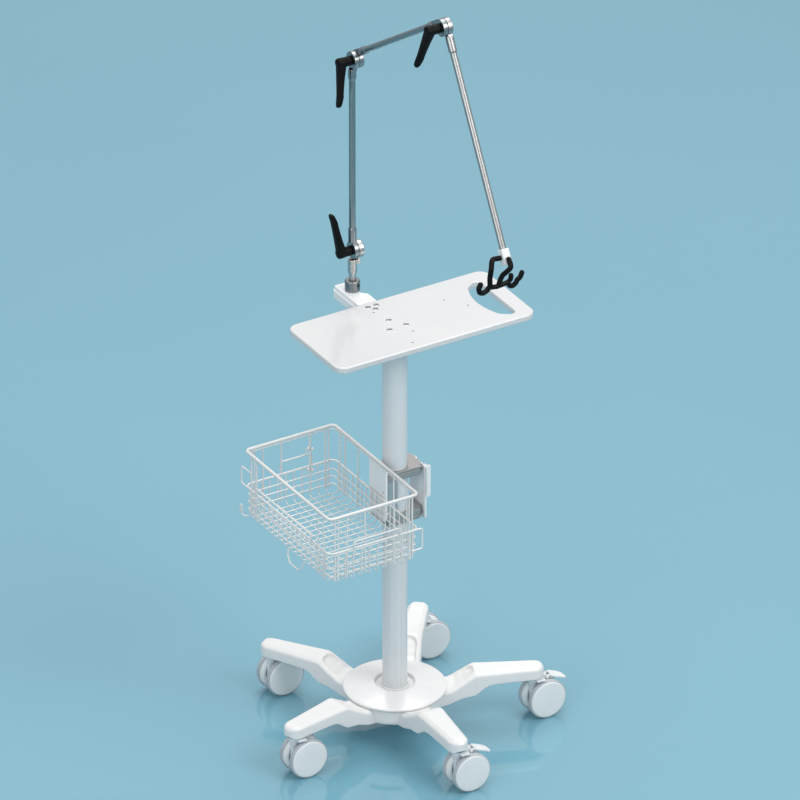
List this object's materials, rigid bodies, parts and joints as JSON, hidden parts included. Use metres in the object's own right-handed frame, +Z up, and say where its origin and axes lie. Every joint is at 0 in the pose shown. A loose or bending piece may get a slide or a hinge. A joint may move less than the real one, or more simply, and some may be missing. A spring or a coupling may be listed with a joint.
{
  "type": "medical equipment trolley",
  "caption": "Wheeled medical equipment trolley: star base on twin-wheel castors, column, tray with hand hole, clamped wire basket and a jointed arm with clamping levers and a hose holder.",
  "frame": {"origin": "middle of the bounding box's footprint, on the floor", "axes": "+Z up; +X along the tray towards its hand hole; +Y to the rear, where the arm's post stands; -Y is the front, where the arm reaches over"},
  "size_m": [0.5587, 0.6084, 1.505],
  "materials": {
    "base_shell": "semi-gloss",
    "cover_plastic": "gloss",
    "column_paint": "semi-gloss",
    "tray_panel": "semi-gloss",
    "white_paint": "semi-gloss",
    "wheel_plastic": "semi-gloss",
    "castor_body": "semi-gloss",
    "clamp_metal": "satin",
    "saddle_metal": "satin",
    "basket_wire": "gloss",
    "lever_black": "satin",
    "holder_black": "satin",
    "black_screw": "satin",
    "arm_steel": "satin",
    "fastener_steel": "satin"
  },
  "bodies": {
    "trolley": {"star_base": "base_shell", "hub_cover": "cover_plastic", "column_collar": "cover_plastic", "column_tube": "column_paint", "column_bolt": "fastener_steel", "top_flange": "white_paint", "tray": "tray_panel", "tray_screws": "fastener_steel", "arm_bracket": "white_paint", "arm_socket": "arm_steel", "socket_screw": "black_screw", "castor_stems": "fastener_steel"},
    "castor_1": {"castor_housing_1": "castor_body", "castor_axle_1": "fastener_steel"},
    "wheel_front_1": {"wheel_front_1": "wheel_plastic"},
    "wheel_rear_1": {"wheel_rear_1": "wheel_plastic"},
    "castor_2": {"castor_housing_2": "castor_body", "castor_axle_2": "fastener_steel"},
    "wheel_front_2": {"wheel_front_2": "wheel_plastic"},
    "wheel_rear_2": {"wheel_rear_2": "wheel_plastic"},
    "brake_pedal_2": {"brake_pedal_2": "castor_body"},
    "castor_3": {"castor_housing_3": "castor_body", "castor_axle_3": "fastener_steel"},
    "wheel_front_3": {"wheel_front_3": "wheel_plastic"},
    "wheel_rear_3": {"wheel_rear_3": "wheel_plastic"},
    "brake_pedal_3": {"brake_pedal_3": "castor_body"},
    "castor_4": {"castor_housing_4": "castor_body", "castor_axle_4": "fastener_steel"},
    "wheel_front_4": {"wheel_front_4": "wheel_plastic"},
    "wheel_rear_4": {"wheel_rear_4": "wheel_plastic"},
    "castor_5": {"castor_housing_5": "castor_body", "castor_axle_5": "fastener_steel"},
    "wheel_front_5": {"wheel_front_5": "wheel_plastic"},
    "wheel_rear_5": {"wheel_rear_5": "wheel_plastic"},
    "basket_clamp": {"clamp_upper": "clamp_metal", "clamp_lower": "clamp_metal", "clamp_saddle": "saddle_metal", "clamp_screws": "fastener_steel", "basket_bracket": "white_paint", "side_rail": "white_paint", "basket_floor": "basket_wire", "basket_front": "basket_wire", "basket_rear": "basket_wire", "basket_inner": "basket_wire", "basket_outer": "basket_wire"},
    "arm_foot": {"arm_stub": "arm_steel"},
    "post": {"arm_post": "arm_steel", "clamp_bolt_1": "fastener_steel", "clamp_bolt_2": "fastener_steel"},
    "middle_rod": {"arm_middle_rod": "arm_steel", "clamp_bolt_3": "fastener_steel"},
    "end_rod": {"arm_end_rod": "arm_steel", "holder_block": "white_paint", "holder_screw": "black_screw"},
    "holder": {"hose_holder": "holder_black"},
    "lever_1": {"clamp_lever_1": "lever_black"},
    "lever_2": {"clamp_lever_2": "lever_black"},
    "lever_3": {"clamp_lever_3": "lever_black"}
  },
  "joints": [
    {"name": "castor_swivel_1", "type": "hinge", "parent": "trolley", "child": "castor_1", "pos_m": [-0.26056, 0.00688, 0.07], "axis": [0, 0, 1], "continuous": true},
    {"name": "wheel_spin_front_1", "type": "hinge", "parent": "castor_1", "child": "wheel_front_1", "pos_m": [-0.24156, 0.00688, 0.0375], "axis": [0, 1, 0], "continuous": true},
    {"name": "wheel_spin_rear_1", "type": "hinge", "parent": "castor_1", "child": "wheel_rear_1", "pos_m": [-0.24156, 0.00688, 0.0375], "axis": [0, 1, 0], "continuous": true},
    {"name": "castor_swivel_2", "type": "hinge", "parent": "trolley", "child": "castor_2", "pos_m": [-0.03586, -0.18436, 0.07], "axis": [0, 0, 1], "continuous": true},
    {"name": "wheel_spin_front_2", "type": "hinge", "parent": "castor_2", "child": "wheel_front_2", "pos_m": [-0.01686, -0.18436, 0.0375], "axis": [0, 1, 0], "continuous": true},
    {"name": "wheel_spin_rear_2", "type": "hinge", "parent": "castor_2", "child": "wheel_rear_2", "pos_m": [-0.01686, -0.18436, 0.0375], "axis": [0, 1, 0], "continuous": true},
    {"name": "brake_2", "type": "hinge", "parent": "castor_2", "child": "brake_pedal_2", "pos_m": [-0.01086, -0.18436, 0.074], "axis": [0, -1, 0], "range_deg": [0, 12]},
    {"name": "castor_swivel_3", "type": "hinge", "parent": "trolley", "child": "castor_3", "pos_m": [0.21546, -0.02975, 0.07], "axis": [0, 0, 1], "continuous": true},
    {"name": "wheel_spin_front_3", "type": "hinge", "parent": "castor_3", "child": "wheel_front_3", "pos_m": [0.23446, -0.02975, 0.0375], "axis": [0, 1, 0], "continuous": true},
    {"name": "wheel_spin_rear_3", "type": "hinge", "parent": "castor_3", "child": "wheel_rear_3", "pos_m": [0.23446, -0.02975, 0.0375], "axis": [0, 1, 0], "continuous": true},
    {"name": "brake_3", "type": "hinge", "parent": "castor_3", "child": "brake_pedal_3", "pos_m": [0.24046, -0.02975, 0.074], "axis": [0, -1, 0], "range_deg": [0, 12]},
    {"name": "castor_swivel_4", "type": "hinge", "parent": "trolley", "child": "castor_4", "pos_m": [0.14608, 0.25705, 0.07], "axis": [0, 0, 1], "continuous": true},
    {"name": "wheel_spin_front_4", "type": "hinge", "parent": "castor_4", "child": "wheel_front_4", "pos_m": [0.16508, 0.25705, 0.0375], "axis": [0, 1, 0], "continuous": true},
    {"name": "wheel_spin_rear_4", "type": "hinge", "parent": "castor_4", "child": "wheel_rear_4", "pos_m": [0.16508, 0.25705, 0.0375], "axis": [0, 1, 0], "continuous": true},
    {"name": "castor_swivel_5", "type": "hinge", "parent": "trolley", "child": "castor_5", "pos_m": [-0.14812, 0.27968, 0.07], "axis": [0, 0, 1], "continuous": true},
    {"name": "wheel_spin_front_5", "type": "hinge", "parent": "castor_5", "child": "wheel_front_5", "pos_m": [-0.12912, 0.27968, 0.0375], "axis": [0, 1, 0], "continuous": true},
    {"name": "wheel_spin_rear_5", "type": "hinge", "parent": "castor_5", "child": "wheel_rear_5", "pos_m": [-0.12912, 0.27968, 0.0375], "axis": [0, 1, 0], "continuous": true},
    {"name": "clamp_slide", "type": "slide", "parent": "trolley", "child": "basket_clamp", "axis": [0, 0, 1], "range_m": [-0.3, 0.22]},
    {"name": "arm_swivel", "type": "hinge", "parent": "trolley", "child": "arm_foot", "pos_m": [-0.0166, 0.2134, 0.845], "axis": [0, 0, 1], "continuous": true},
    {"name": "arm_hinge_1", "type": "hinge", "parent": "arm_foot", "child": "post", "pos_m": [-0.0166, 0.2134, 0.906], "axis": [1, 0, 0], "range_deg": [-30, 45]},
    {"name": "arm_hinge_2", "type": "hinge", "parent": "post", "child": "middle_rod", "pos_m": [-0.0166, 0.2134, 1.2908], "axis": [1, 0, 0], "range_deg": [-50, 20]},
    {"name": "arm_hinge_3", "type": "hinge", "parent": "middle_rod", "child": "end_rod", "pos_m": [-0.0166, -0.07648, 1.48854], "axis": [1, 0, 0], "range_deg": [-85, 45]},
    {"name": "holder_swing", "type": "hinge", "parent": "end_rod", "child": "holder", "pos_m": [-0.0166, -0.27539, 1.11953], "axis": [1, 0, 0], "range_deg": [-40, 0]},
    {"name": "lever_turn_1", "type": "hinge", "parent": "post", "child": "lever_1", "pos_m": [-0.0166, 0.2134, 0.906], "axis": [1, 0, 0], "range_deg": [-60, 120]},
    {"name": "lever_turn_2", "type": "hinge", "parent": "post", "child": "lever_2", "pos_m": [-0.0166, 0.2134, 1.2908], "axis": [1, 0, 0], "range_deg": [-60, 120]},
    {"name": "lever_turn_3", "type": "hinge", "parent": "middle_rod", "child": "lever_3", "pos_m": [-0.0166, -0.07648, 1.48854], "axis": [1, 0, 0], "range_deg": [-60, 120]}
  ]
}
